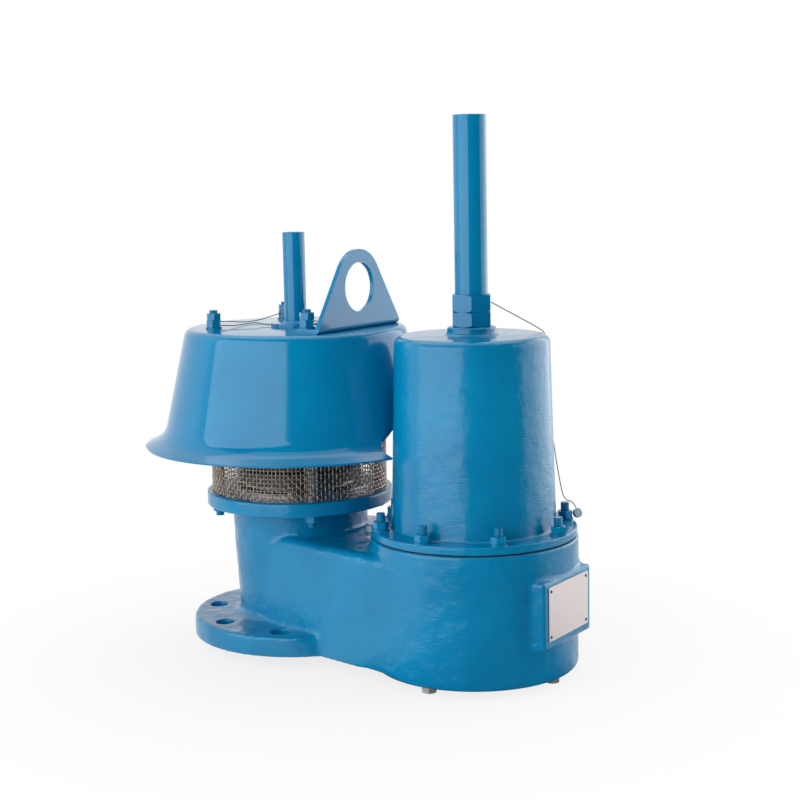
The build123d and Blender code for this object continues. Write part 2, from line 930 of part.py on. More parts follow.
def hood_seal_wires():
    """Seal wires between the tie nuts and the collar on the hood top."""
    reach = tie_circle / 2 * math.cos(math.radians(tie_start_angle))
    touch = m8_flats / 2 + wire_radius
    bare_nut = hood_top_height + washer_thickness + m8_nut_height / 2
    lug_nut = bare_nut + lug_thickness
    low = hood_top_height + wire_radius + fit_gap
    lug_low = low + lug_thickness
    collar_height = hood_top_height + hood_collar_thickness / 2
    collar_reach = hood_collar_radius + wire_radius
    collar_angle = math.radians(214)
    nut_side = math.radians(30)
    left_pair = [
        (-reach, -reach + touch, bare_nut + 1.5),
        (-reach - 2, -reach + 25, bare_nut),
        (-reach - 5, -8, low + 1),
        (-reach - 4, 14, low + 0.6),
        (-reach - 1, reach - 22, bare_nut - 0.4),
        (-reach, reach - touch, bare_nut + 1.5),
    ]
    to_collar = [
        (-reach + touch * math.cos(nut_side), -reach + touch * math.sin(nut_side), bare_nut - 2),
        (-reach + 14, -reach + 13, low + 1.2),
        (-reach + 19, -reach + 26, low + 2.4),
        (-reach + 22, -reach + 38, low + 2.8),
        (-reach + 28, -reach + 43, low + 1.2),
        (collar_reach * math.cos(collar_angle), collar_reach * math.sin(collar_angle),
         collar_height),
    ]
    right_pair = [
        (reach, -reach + touch, lug_nut + 1.5),
        (reach + 1, -reach + 25, lug_nut - 0.6),
        (reach + 2, -6, lug_low + 0.8),
        (reach + 1.6, 16, lug_low + 0.5),
        (reach + 0.6, reach - 22, lug_nut - 0.8),
        (reach, reach - touch, lug_nut + 1.5),
    ]
    right_return = [
        (reach + touch * math.cos(nut_side), -reach + touch * math.sin(nut_side), lug_nut - 1.5),
        (reach + 8, -reach + 22, lug_low + 1),
        (reach + 9.4, -10, lug_low + 0.3),
        (reach + 9.4, 13, lug_low + 0.4),
        (reach + 8.2, reach - 20, lug_low + 1.1),
        (reach + touch * math.cos(nut_side), reach - touch * math.sin(nut_side), lug_nut - 1.5),
    ]
    return group(wire(route) for route in (left_pair, to_collar, right_pair, right_return))


def cover_wire_point(radius, angle, height):
    """Point about the chamber's axis."""
    turn = math.radians(angle)
    return (chamber_distance + radius * math.cos(turn), radius * math.sin(turn), height)


def cover_seal_wire():
    """Seal wire from the tube socket over the cover's edge, past a stud to the lead seal."""
    stud_circle = cover_bolt_circle / 2
    over_stud = (
        cover_flange_top + washer_thickness + m8_nut_height + cover_stud_overhang
        + wire_radius + fit_gap
    )
    return wire([
        cover_wire_point(hex_flats / 2 + wire_radius, 31, lower_hex_top + upper_hex_height / 2),
        cover_wire_point(30, 38, cover_top_height + 23),
        cover_wire_point(50, 46, cover_top_height + 12),
        cover_wire_point(cover_top_radius - 8, 50, cover_top_height + 4.4),
        cover_wire_point(cover_top_radius + 3.6, 52, cover_top_height - 3),
        cover_wire_point(cover_top_radius + 4.2, 51, cover_top_height - 38),
        cover_wire_point(cover_top_radius + 3.7, 49, cover_top_height - 73),
        cover_wire_point(cover_foot_radius + 1.5, 46, cover_top_height - 108),
        cover_wire_point(stud_circle - 5, 45, over_stud + 20),
        cover_wire_point(stud_circle - 1, 45, over_stud + 1.6),
        cover_wire_point(stud_circle + 8, 44.6, over_stud - 0.5),
        seal_centre + seal_up * (lead_seal_radius + wire_radius),
    ])


def lead_seal():
    """Pressed lead disc on the end of the seal wire, hanging by the stud nut."""
    return Plane(origin=seal_centre, z_dir=seal_face) * Cylinder(lead_seal_radius, lead_seal_thickness)


seal_centre = Vector(*cover_wire_point(cover_bolt_circle / 2 + 11.8, 43.8, cover_flange_top + 5.5))
seal_face = Vector(0.82, -0.38, 0.42).normalized()
seal_up = Vector(-0.38, 0.18, 0.91).normalized()

save("body_casting", body_casting())
for side, base, spigot_depth, lip, lift, centre, rod_radius, rod_top, load in (
    ("pressure", seat_flange_height, pressure_spigot_depth, pressure_lip, pressure_lift,
     axis_column, pressure_stem_radius, pressure_stem_top,
     (pressure_weight_radius, pressure_weight_thickness, pressure_weight_count)),
    ("vacuum", chamber_floor_top, vacuum_spigot_depth, vacuum_lip, vacuum_lift,
     axis_chamber, vacuum_stem_radius, vacuum_stem_top,
     (vacuum_weight_radius, vacuum_weight_thickness, vacuum_weight_count)),
):
    load_radius, load_thickness, load_count = load
    bush_bottom = bush_top(lip) - bush_length
    bush_radius = rod_radius + bush_wall
    save(f"{side}_seat_ring", seat_ring(base, base - spigot_depth, lip, rod_radius, centre))
    save(f"{side}_seat_screws", seat_screws(base, centre))
    save(f"{side}_guide_bush", guide_bush(bush_bottom, bush_length, rod_radius, bush_radius, centre))
    save(f"{side}_pallet", pallet(lip, rod_radius, centre))
    save(f"{side}_pallet_seal", pallet_seal(lip, centre))
    save(f"{side}_stem", stem(lip, lift, rod_top, rod_radius, centre))
    save(f"{side}_weights",
         weights(lip, load_radius, load_thickness, load_count, rod_radius, centre))
    save(f"{side}_weight_nut", weight_nut(lip, load_thickness, load_count, rod_radius, centre))
save("mesh_guard", mesh_guard())
save("hood", hood())
save("hood_tie_studs", tie_studs())
save("hood_spacers", tie_spacers())
save("hood_top_washers", tie_top_washers())
save("hood_top_nuts", tie_top_nuts())
save("hood_lower_nuts", tie_lower_nuts())
save("lifting_lug", lifting_lug())
save("hood_tube_collar", hood_tube_collar())
save("hood_guide_tube", hood_guide_tube())
save("hood_tube_cap", hood_tube_cap())
hood_bush_low = hood_ceiling - hood_tube_depth
hood_bush_outer = hood_tube_radius - hood_tube_wall - fit_gap
save("hood_guide_bush",
     guide_bush(hood_bush_low, bush_length, pressure_stem_radius, hood_bush_outer, axis_column))
save("cover", cover())
save("cover_gasket", cover_gasket())
save("cover_studs", cover_studs())
save("cover_washers", cover_washers())
save("cover_nuts", cover_nuts())
save("guide_nipple", guide_nipple())
save("nipple_lock_nut", lower_hex())
save("tube_socket", upper_hex())
save("guide_tube", guide_tube())
save("guide_tube_cap", guide_tube_cap())
nipple_bush_low = cover_ceiling - nipple_flange_thickness
nipple_bush_outer = nipple_radius - nipple_wall - fit_gap
save("nipple_guide_bush",
     guide_bush(nipple_bush_low, bush_length, vacuum_stem_radius, nipple_bush_outer, axis_chamber))
save("bottom_screen", bottom_screen())
save("screen_ring", screen_ring())
save("screen_washers", screen_washers())
save("screen_bolts", screen_bolts())
save("nameplate", nameplate())
save("nameplate_rivets", nameplate_rivets())
save("hood_seal_wires", hood_seal_wires())
save("cover_seal_wire", cover_seal_wire())
save("lead_seal", lead_seal())
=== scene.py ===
# %% [markdown]
# # A pressure and vacuum relief valve, dressed in Blender
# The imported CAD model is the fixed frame. Every piece below is in metres and in the same place
# as its CAD node. The steps are camera, light, paints and metals, and then one piece after another.

# %% Load the frame
import json
import math

import bmesh
import bpy
import numpy as np
from mathutils import Matrix, Vector
from mathutils import noise as random_field


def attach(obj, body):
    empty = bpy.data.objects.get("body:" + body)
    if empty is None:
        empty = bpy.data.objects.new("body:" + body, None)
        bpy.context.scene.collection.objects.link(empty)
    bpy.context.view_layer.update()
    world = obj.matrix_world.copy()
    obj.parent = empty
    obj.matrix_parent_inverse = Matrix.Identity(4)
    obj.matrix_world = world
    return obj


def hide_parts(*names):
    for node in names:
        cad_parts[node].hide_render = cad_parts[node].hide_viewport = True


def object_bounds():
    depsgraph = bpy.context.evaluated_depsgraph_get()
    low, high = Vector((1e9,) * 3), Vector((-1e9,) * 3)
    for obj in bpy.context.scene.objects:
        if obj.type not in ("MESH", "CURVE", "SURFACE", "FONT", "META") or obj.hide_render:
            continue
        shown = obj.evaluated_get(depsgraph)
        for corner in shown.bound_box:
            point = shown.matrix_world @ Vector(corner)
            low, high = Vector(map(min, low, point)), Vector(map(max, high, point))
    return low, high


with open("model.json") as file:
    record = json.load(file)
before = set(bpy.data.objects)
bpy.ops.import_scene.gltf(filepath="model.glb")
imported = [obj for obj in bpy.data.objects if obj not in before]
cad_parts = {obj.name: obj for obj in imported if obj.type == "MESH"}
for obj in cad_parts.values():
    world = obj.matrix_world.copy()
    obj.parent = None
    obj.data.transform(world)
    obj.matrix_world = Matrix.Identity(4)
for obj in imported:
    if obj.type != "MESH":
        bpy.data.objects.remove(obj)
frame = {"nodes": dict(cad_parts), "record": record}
nodes = frame["nodes"]
cad_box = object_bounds()
print("CAD box in mm:", [[round(1000 * v) for v in corner] for corner in cad_box])

# %% [markdown]
# ## Camera
# The photograph looks a little down on the valve, from the front right. The tank flange's ellipse,
# its bolt holes and the seat flange fix the lens and the place, since their real sizes are standard.

# %% Camera
camera_place = Vector((0.95586, -1.24712, 0.45169))
camera_azimuth = math.radians(33.717)
camera_pitch = math.radians(7.979)
camera_roll = math.radians(-1.0485)
focal_share_of_width = 1573.08 / 800
sensor_width = 36.0

ahead = Vector((-math.sin(camera_azimuth) * math.cos(camera_pitch),
                math.cos(camera_azimuth) * math.cos(camera_pitch),
                -math.sin(camera_pitch)))
level_right = Vector((math.cos(camera_azimuth), math.sin(camera_azimuth), 0.0))
level_up = level_right.cross(ahead)
right = level_right * math.cos(camera_roll) + level_up * math.sin(camera_roll)
up = right.cross(ahead)
turn = Matrix((right, up, -ahead)).transposed()

lens = bpy.data.cameras.new("photo_camera")
lens.sensor_width = sensor_width
lens.lens = focal_share_of_width * sensor_width
lens.clip_start, lens.clip_end = 0.05, 50.0
camera = bpy.data.objects.new("photo_camera", lens)
camera.matrix_world = Matrix.Translation(camera_place) @ turn.to_4x4()
bpy.context.scene.collection.objects.link(camera)
bpy.context.scene.camera = camera
bpy.context.scene.view_settings.view_transform = "Standard"
print("lens in mm:", round(lens.lens, 2))

# %% [markdown]
# ## Light
# The glossy hood mirrors the studio: a large softbox to the left with a straight edge near the
# camera, another to the right, a bright ceiling, and darkness between them. Area lamps are
# softboxes, so they give both the soft light and the mirrored panels.

# %% Softboxes
scene_centre = Vector((0.08, 0.0, 0.22))


def softbox(name, azimuth, elevation, distance, size, radiance):
    """Area lamp that faces the valve; its power follows from the brightness of its surface."""
    a, e = math.radians(azimuth), math.radians(elevation)
    outward = Vector((math.cos(a) * math.cos(e), math.sin(a) * math.cos(e), math.sin(e)))
    lamp = bpy.data.lights.new(name, "AREA")
    lamp.shape = "RECTANGLE"
    lamp.size, lamp.size_y = size
    lamp.energy = radiance * math.pi * size[0] * size[1]
    holder = bpy.data.objects.new(name, lamp)
    holder.location = scene_centre + outward * distance
    holder.rotation_euler = outward.to_track_quat("Z", "Y").to_euler()
    holder.visible_camera = False
    bpy.context.scene.collection.objects.link(holder)
    return holder


softbox("left_softbox", -104, 14, 1.3, (1.9, 1.5), 2.1)
softbox("right_softbox", 52, 12, 1.4, (2.1, 1.5), 1.6)
softbox("ceiling_softbox", 127, 80, 1.6, (1.8, 1.8), 1.1)

# %% [markdown]
# ## Backdrop
# A product photograph of this kind is cut out on white. The world is white to the camera. To the
# paint's mirror it is white behind the valve, as the paper backdrop is, and dark in front, where
# the photographer's room is. Matt surfaces get a dim, even grey.

# %% World
room_strength = 0.03
matt_strength = 0.16
backdrop_direction = (math.cos(math.radians(127.5)), math.sin(math.radians(127.5)), 0.0)

world = bpy.data.worlds.new("studio")
world.use_nodes = True
bpy.context.scene.world = world
tree = world.node_tree
tree.nodes.clear()
world_out = tree.nodes.new("ShaderNodeOutputWorld")
toward = tree.nodes.new("ShaderNodeTexCoord")
along = tree.nodes.new("ShaderNodeVectorMath")
along.operation = "DOT_PRODUCT"
along.inputs[1].default_value = backdrop_direction
tree.links.new(toward.outputs["Generated"], along.inputs[0])
paper = tree.nodes.new("ShaderNodeMapRange")
paper.inputs["From Min"].default_value = -0.05
paper.inputs["From Max"].default_value = 0.20
paper.inputs["To Min"].default_value = room_strength
paper.inputs["To Max"].default_value = 1.0
tree.links.new(along.outputs["Value"], paper.inputs["Value"])
mirrored = tree.nodes.new("ShaderNodeBackground")
tree.links.new(paper.outputs["Result"], mirrored.inputs["Strength"])
matt_light = tree.nodes.new("ShaderNodeBackground")
matt_light.inputs["Strength"].default_value = matt_strength
white = tree.nodes.new("ShaderNodeBackground")
white.inputs["Strength"].default_value = 1.0
for shader in (mirrored, matt_light, white):
    shader.inputs["Color"].default_value = (1.0, 1.0, 1.0, 1.0)
rays = tree.nodes.new("ShaderNodeLightPath")
seen = matt_light.outputs[0]
for ray, light in (("Is Glossy Ray", mirrored), ("Is Camera Ray", white)):
    choose = tree.nodes.new("ShaderNodeMixShader")
    tree.links.new(rays.outputs[ray], choose.inputs["Fac"])
    tree.links.new(seen, choose.inputs[1])
    tree.links.new(light.outputs[0], choose.inputs[2])
    seen = choose.outputs[0]
tree.links.new(seen, world_out.inputs["Surface"])

# %% Material helpers


def finish_named(name):
    """New material with an empty Principled shader; returns the material, its tree and shader."""
    material = bpy.data.materials.new(name)
    material.use_nodes = True
    return material, material.node_tree, material.node_tree.nodes["Principled BSDF"]


def place(tree, stretch=(1.0, 1.0, 1.0), turn=(0.0, 0.0, 0.0), centre=(0.0, 0.0, 0.0)):
    """Coordinates of the piece in metres, about a centre, turned and stretched."""
    coordinates = tree.nodes.new("ShaderNodeTexCoord")
    mapping = tree.nodes.new("ShaderNodeMapping")
    mapping.inputs["Scale"].default_value = stretch
    mapping.inputs["Rotation"].default_value = turn
    mapping.inputs["Location"].default_value = tuple(-c for c in centre)
    tree.links.new(coordinates.outputs["Object"], mapping.inputs["Vector"])
    return mapping.outputs["Vector"]


def noise(tree, where, per_metre, detail=2.0, rough=0.5):
    """Smooth random field with so many features in a metre."""
    field = tree.nodes.new("ShaderNodeTexNoise")
    field.inputs["Scale"].default_value = per_metre
    field.inputs["Detail"].default_value = detail
    field.inputs["Roughness"].default_value = rough
    tree.links.new(where, field.inputs["Vector"])
    return field.outputs["Fac"]


def between(tree, value, low, high, to_low, to_high):
    """Value mapped from one range to another and held at its ends."""
    node = tree.nodes.new("ShaderNodeMapRange")
    node.inputs["From Min"].default_value = low
    node.inputs["From Max"].default_value = high
    node.inputs["To Min"].default_value = to_low
    node.inputs["To Max"].default_value = to_high
    tree.links.new(value, node.inputs["Value"])
    return node.outputs["Result"]


def blend_colours(tree, share, first, second):
    """Colour that goes from the first to the second as share goes from 0 to 1."""
    mix = tree.nodes.new("ShaderNodeMix")
    mix.data_type = "RGBA"
    tree.links.new(share, mix.inputs["Factor"])
    for socket, colour in ((mix.inputs["A"], first), (mix.inputs["B"], second)):
        if isinstance(colour, tuple):
            socket.default_value = (*colour, 1.0)
        else:
            tree.links.new(colour, socket)
    return mix.outputs["Result"]


def relief(tree, height, depth, under=None, strength=1.0):
    """Bump of so many metres; under is another bump below it."""
    bump = tree.nodes.new("ShaderNodeBump")
    bump.inputs["Distance"].default_value = depth
    bump.inputs["Strength"].default_value = strength
    tree.links.new(height, bump.inputs["Height"])
    if under is not None:
        tree.links.new(under, bump.inputs["Normal"])
    return bump.outputs["Normal"]


# %% [markdown]
# ## Floor
# The floor carries the soft shadow near the valve and turns into plain white farther out, so that
# it meets the white world without an edge. In the paint's mirror it is dark to the front right,
# where the camera stands, and pale all round the rest; far off only the backdrop's side is pale.

# %% Floor
floor_height = cad_box[0].z
floor_size = 8.0
shadow_reach = 0.12
white_from = 0.45
paper_whiteness = 0.80
dark_direction = (math.cos(math.radians(-35)), math.sin(math.radians(-35)), 0.0)
dark_floor, pale_floor = 0.03, 0.80
near_floor = (0.8, 1.2)

bpy.ops.mesh.primitive_plane_add(size=floor_size, location=(scene_centre.x, 0, floor_height))
floor = bpy.context.object
floor.name = "floor"
floor_paper, tree, paper = finish_named("white_paper")
paper.inputs["Base Color"].default_value = (0.90, 0.90, 0.90, 1.0)
paper.inputs["Roughness"].default_value = 0.9
paper.inputs["Specular IOR Level"].default_value = 0.1
spot = place(tree)
length = tree.nodes.new("ShaderNodeVectorMath")
length.operation = "LENGTH"
tree.links.new(spot, length.inputs[0])
whiteness = between(tree, length.outputs["Value"], shadow_reach, white_from, paper_whiteness, 1.0)
bearing = tree.nodes.new("ShaderNodeVectorMath")
bearing.operation = "NORMALIZE"
tree.links.new(spot, bearing.inputs[0])
facing = []
for direction in (dark_direction, backdrop_direction):
    along = tree.nodes.new("ShaderNodeVectorMath")
    along.operation = "DOT_PRODUCT"
    along.inputs[1].default_value = direction
    tree.links.new(bearing.outputs[0], along.inputs[0])
    facing.append(along.outputs["Value"])
near_strength = between(tree, facing[0], 0.60, 0.80, pale_floor, dark_floor)
far_strength = between(tree, facing[1], -0.05, 0.20, dark_floor, 1.0)
farness = between(tree, length.outputs["Value"], *near_floor, 0.0, 1.0)
mirror = tree.nodes.new("ShaderNodeMix")
for socket, value in ((0, farness), (2, near_strength), (3, far_strength)):
    tree.links.new(value, mirror.inputs[socket])
mirror_strength = mirror.outputs[0]
rays = tree.nodes.new("ShaderNodeLightPath")
seen_share = tree.nodes.new("ShaderNodeMath")
seen_share.operation = "MULTIPLY"
tree.links.new(whiteness, seen_share.inputs[0])
tree.links.new(rays.outputs["Is Camera Ray"], seen_share.inputs[1])
surface = paper.outputs[0]
for share, strength in ((seen_share.outputs[0], None), (rays.outputs["Is Glossy Ray"], mirror_strength)):
    glow = tree.nodes.new("ShaderNodeEmission")
    if strength is not None:
        tree.links.new(strength, glow.inputs["Strength"])
    mix = tree.nodes.new("ShaderNodeMixShader")
    tree.links.new(share, mix.inputs["Fac"])
    tree.links.new(surface, mix.inputs[1])
    tree.links.new(glow.outputs[0], mix.inputs[2])
    surface = mix.outputs[0]
tree.links.new(surface, tree.nodes["Material Output"].inputs["Surface"])
floor.data.materials.append(floor_paper)

# %% [markdown]
# ## Paint
# Two blues of one enamel. On the spun hood, the lug and the tubes it lies smooth as glass. On the
# castings the same paint follows the sand skin below it: fine orange peel on low, wide lumps.

# %% Blue enamel
deep_blue = (0.0, 0.205, 0.430)
light_blue = (0.0, 0.260, 0.510)
run_share = 0.3
thread_share = 0.4


def enamel(name, peel_depth, lump_depth, shine, thread_pitch=0.0):
    """Blue enamel; peel is the fine texture of the paint, lumps are the casting below it."""
    material, tree, shader = finish_named(name)
    where = place(tree)
    shade = between(tree, noise(tree, where, 14.0, 3.0), 0.3, 0.7, 0.0, 1.0)
    tree.links.new(blend_colours(tree, shade, deep_blue, light_blue), shader.inputs["Base Color"])
    haze = noise(tree, where, 60.0, 4.0)
    tree.links.new(between(tree, haze, 0.3, 0.7, shine, shine + 0.05), shader.inputs["Roughness"])
    normal = None
    if lump_depth:
        normal = relief(tree, noise(tree, where, 70.0, 2.0, 0.4), lump_depth)
        runs = noise(tree, place(tree, (1.0, 1.0, 9.0)), 90.0, 3.0, 0.6)
        normal = relief(tree, runs, lump_depth * run_share, normal)
    if thread_pitch:
        thread = tree.nodes.new("ShaderNodeTexWave")
        thread.bands_direction = "Z"
        thread.inputs["Scale"].default_value = math.pi / (10 * thread_pitch)
        tree.links.new(where, thread.inputs["Vector"])
        normal = relief(tree, thread.outputs["Fac"], thread_share * thread_pitch)
    peel = noise(tree, where, 520.0, 2.0, 0.5)
    normal = relief(tree, peel, peel_depth, normal)
    tree.links.new(normal, shader.inputs["Normal"])
    return material


smooth_enamel = enamel("smooth_blue_enamel", 0.00001, 0.0, 0.08)
cast_enamel = enamel("cast_blue_enamel", 0.00008, 0.0008, 0.12)
thread_enamel = enamel("painted_thread", 0.00002, 0.0, 0.20, 0.00125)
print("paints:", smooth_enamel.name, cast_enamel.name, thread_enamel.name)

# %% Bare metals and soft materials


def metal(name, dark, light, roughness, stretch, per_metre, depth=0.00002, metallic=1.0):
    """Drawn, turned or brushed metal: the stretch makes the noise into its grain."""
    material, tree, shader = finish_named(name)
    where = place(tree, stretch)
    grain = noise(tree, where, per_metre, 4.0, 0.6)
    share = between(tree, grain, 0.3, 0.7, 0.0, 1.0)
    tree.links.new(blend_colours(tree, share, dark, light), shader.inputs["Base Color"])
    tree.links.new(between(tree, grain, 0.3, 0.7, roughness, roughness + 0.15),
                   shader.inputs["Roughness"])
    tree.links.new(relief(tree, grain, depth), shader.inputs["Normal"])
    shader.inputs["Metallic"].default_value = metallic
    return material


woven_steel = metal("woven_stainless", (0.26, 0.20, 0.16), (0.80, 0.70, 0.62), 0.30,
                    (1.0, 1.0, 1.0), 300.0)
turned_steel = metal("turned_stainless", (0.42, 0.40, 0.38), (0.66, 0.64, 0.62), 0.28,
                     (1.0, 1.0, 12.0), 120.0)
bolt_steel = metal("bare_bolt_steel", (0.50, 0.49, 0.48), (0.72, 0.71, 0.70), 0.50,
                   (1.0, 1.0, 1.0), 260.0, 0.00002, 0.5)
# Stainless of the pieces under the hood, made far darker than the turned stainless: painted shade of the
# hood's inside.
painted_shade_steel = metal("stainless_with_painted_shade", (0.10, 0.09, 0.08), (0.20, 0.18, 0.16), 0.45,
                   (1.0, 1.0, 12.0), 120.0)
rivet_steel = metal("dark_rivet_steel", (0.10, 0.12, 0.14), (0.24, 0.26, 0.28), 0.35,
                    (1.0, 1.0, 1.0), 400.0)
plate_steel = metal("brushed_plate", (0.70, 0.64, 0.63), (0.86, 0.79, 0.78), 0.40,
                    (1.0, 0.05, 1.0), 2600.0, 0.00001)
bronze = metal("guide_bronze", (0.45, 0.28, 0.12), (0.62, 0.42, 0.20), 0.35,
               (1.0, 1.0, 8.0), 150.0)
lead = metal("pressed_lead", (0.16, 0.24, 0.28), (0.36, 0.47, 0.52), 0.38,
             (1.0, 1.0, 1.0), 700.0, 0.0001)
wire_steel = metal("seal_wire_steel", (0.05, 0.06, 0.07), (0.24, 0.25, 0.26), 0.35,
                   (1.0, 1.0, 1.0), 900.0)
gasket_fibre = metal("gasket_fibre", (0.008, 0.012, 0.018), (0.02, 0.03, 0.04), 0.75,
                     (1.0, 1.0, 1.0), 500.0, 0.0001, 0.0)
seal_plastic = metal("seal_plastic", (0.74, 0.74, 0.70), (0.84, 0.84, 0.80), 0.45,
                     (1.0, 1.0, 1.0), 200.0, 0.00002, 0.0)

# %% [markdown]
# ## The CAD nodes that keep their shape
# Most nodes are right as they are and only get their finish. The record's slots say which.

# %% Finish of each node
finish_of_slot = {
    "blue_paint": smooth_enamel,
    "cast_blue_paint": cast_enamel,
    "stainless": turned_steel,
    "brushed_plate": plate_steel,
    "gasket": gasket_fibre,
    "seal_wire": wire_steel,
    "lead": lead,
    "bronze": bronze,
    "seal_plastic": seal_plastic,
}
slot_of_node = {part["node"]: part["material_slot"] for part in frame["record"]["subparts"]}
for name, node in nodes.items():
    node.data.materials.clear()
    node.data.materials.append(finish_of_slot[slot_of_node[name]])
for names, finish in (
    (("screen_bolts", "screen_washers"), bolt_steel),
    (("cover_studs", "hood_tie_studs"), thread_enamel),
    (("nameplate_rivets",), rivet_steel),
    # The pallet, weights, nut and stem get the stainless with painted shade.
    (("pressure_pallet", "pressure_weights", "pressure_weight_nut", "pressure_stem"), painted_shade_steel),
):
    for name in names:
        nodes[name].data.materials[0] = finish
print("nodes with a finish:", len(nodes))

# %% [markdown]
# ## Turned pieces
# The hood, the cover and the tubes are round, and their gloss shows every facet of a coarse mesh.
# So each is turned again from its outline with fine steps, and rounds its corners by real arcs.

# %% Turning helpers
millimetre = 0.001
arc_steps = 8
turn_steps = 256
column_axis = Vector((0.0, 0.0))
chamber_axis = Vector((0.205, 0.0))


def rounded(corners, rounds):
    """Outline in mm whose corners become arcs; rounds maps a corner's number to its radius."""
    outline = []
    for i, corner in enumerate(corners):
        here = np.array(corner, float)
        if i not in rounds:
            outline.append(here)
            continue
        before = np.array(corners[i - 1], float) - here
        after = np.array(corners[(i + 1) % len(corners)], float) - here
        before /= np.linalg.norm(before)
        after /= np.linalg.norm(after)
        half = math.acos(float(np.clip(before @ after, -1, 1))) / 2
        middle = (before + after) / np.linalg.norm(before + after)
        centre = here + middle * rounds[i] / math.sin(half)
        start = here + before * rounds[i] / math.tan(half) - centre
        end = here + after * rounds[i] / math.tan(half) - centre
        sweep = math.pi - 2 * half
        for k in range(arc_steps + 1):
            t = k / arc_steps
            outline.append(centre + (math.sin((1 - t) * sweep) * start + math.sin(t * sweep) * end)
                           / math.sin(sweep))
    return outline


def piece_from(name, mesh, material=None):
    """New object at the origin that shows the mesh."""
    piece = bpy.data.objects.new(name, mesh)
    bpy.context.scene.collection.objects.link(piece)
    if material is not None:
        mesh.materials.clear()
        mesh.materials.append(material)
    return piece


def shade(mesh, sharp_degrees=35.0):
    """Smooth shading with sharp edges where the surface turns by more than the angle."""
    mesh.polygons.foreach_set("use_smooth", np.ones(len(mesh.polygons), bool))
    mesh.set_sharp_from_angle(angle=math.radians(sharp_degrees))
    mesh.update()


def turned(name, outline, axis, steps=turn_steps):
    """Closed mesh of an outline in mm turned about a vertical axis."""
    work = bmesh.new()
    rings = []
    for k in range(steps):
        a = 2 * math.pi * k / steps
        rings.append([
            work.verts.new((axis.x + r * millimetre * math.cos(a),
                            axis.y + r * millimetre * math.sin(a), z * millimetre))
            for r, z in outline
        ])
    for k, ring in enumerate(rings):
        after = rings[(k + 1) % steps]
        for i in range(len(ring)):
            j = (i + 1) % len(ring)
            work.faces.new((ring[i], ring[j], after[j], after[i]))
    bmesh.ops.remove_doubles(work, verts=work.verts, dist=1e-7)
    bmesh.ops.recalc_face_normals(work, faces=work.faces)
    mesh = bpy.data.meshes.new(name)
    work.to_mesh(mesh)
    work.free()
    shade(mesh)
    return mesh


def settled(piece):
    """Plain mesh of a piece with its modifiers; the modifiers then go."""
    graph = bpy.context.evaluated_depsgraph_get()
    mesh = bpy.data.meshes.new_from_object(piece.evaluated_get(graph), depsgraph=graph)
    piece.modifiers.clear()
    return mesh


# %% [markdown]
# ## Hood
# One sheet, spun: flat top, tapering skirt and a flared brim. A cutter with two round corners then
# takes the notch beside the cover, as a press tool would.

# %% Hood
hood_sheet = 2.0
hood_top = (109.5, 309.0)
hood_skirt = (133.4, 203.4)
hood_brim = (152.6, 194.0)
hood_corner = 8.0
hood_flare = 24.0
notch_corners = [(127.3, -46.6), (170.0, -46.6), (170.0, 46.6), (127.3, 46.6)]
notch_rounds = {0: 12.0, 3: 12.0}
notch_heights = (180.0, 320.0)


def sheet_outline(outside, thickness):
    """Outline of a bent sheet from its outer line, with the inner line at an even distance."""
    line = np.array(outside)
    run = np.gradient(line, axis=0)
    run /= np.linalg.norm(run, axis=1)[:, None]
    inward = np.stack([run[:, 1], -run[:, 0]], axis=1)
    inner = line + inward * thickness
    inner[0, 0] = 0.0
    return [*line, *inner[::-1]]


def prism(name, outline, low, high):
    """Closed upright prism of a plan outline in mm."""
    work = bmesh.new()
    rims = [[work.verts.new((x * millimetre, y * millimetre, z * millimetre)) for x, y in outline]
            for z in (low, high)]
    for i in range(len(outline)):
        j = (i + 1) % len(outline)
        work.faces.new((rims[0][i], rims[0][j], rims[1][j], rims[1][i]))
    for rim in rims:
        work.faces.new(rim)
    bmesh.ops.recalc_face_normals(work, faces=work.faces)
    mesh = bpy.data.meshes.new(name)
    work.to_mesh(mesh)
    work.free()
    return mesh


outer_line = rounded([(0.0, hood_top[1]), hood_top, hood_skirt, hood_brim],
                     {1: hood_corner, 2: hood_flare})
hood_mesh = turned("hood_shell", sheet_outline(outer_line, hood_sheet), column_axis)
hood_shell = piece_from("hood_shell", hood_mesh)
notch = prism("notch_cutter", rounded(notch_corners, notch_rounds), *notch_heights)
cutter = piece_from("notch_cutter", notch)
cut = hood_shell.modifiers.new("notch", "BOOLEAN")
cut.operation, cut.solver, cut.object = "DIFFERENCE", "EXACT", cutter
hood_shell.data = settled(hood_shell)
bpy.data.objects.remove(cutter)
shade(hood_shell.data)
hood_shell.data.materials.clear()
hood_shell.data.materials.append(smooth_enamel)
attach(hood_shell, "valve_body")
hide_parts("hood")
print("hood faces:", len(hood_shell.data.polygons))

# %% [markdown]
# ## Cover and tubes
# The cover is a bell casting with a bolting flange; a welded collar carries the tall tube. Both
# tubes are plain, with a cap let into the top.

# %% Cover and tubes
cover_outline = rounded(
    [(71.5, 121.0), (97.0, 121.0), (97.0, 128.0), (77.5, 128.0), (72.4, 308.0), (23.0, 308.0),
     (23.0, 316.0), (0.0, 316.0), (0.0, 302.0), (66.4, 302.0), (71.5, 128.0)],
    {1: 0.6, 2: 1.2, 3: 2.5, 4: 8.0, 5: 4.5, 6: 2.6, 9: 5.0},
)
hood_tube_outline = rounded(
    [(0.0, 305.0), (11.0, 305.0), (11.0, 402.0), (9.2, 402.0), (9.0, 401.4), (0.0, 401.4)], {2: 0.5})
tall_tube_outline = rounded(
    [(0.0, 340.0), (15.3, 340.0), (15.3, 509.2), (12.9, 509.2), (12.7, 508.5), (0.0, 508.5)], {2: 0.6})
hood_collar_outline = rounded(
    [(0.0, 308.8), (25.0, 308.8), (25.0, 312.5), (12.6, 312.5), (11.0, 314.0), (0.0, 314.0)], {2: 0.8})

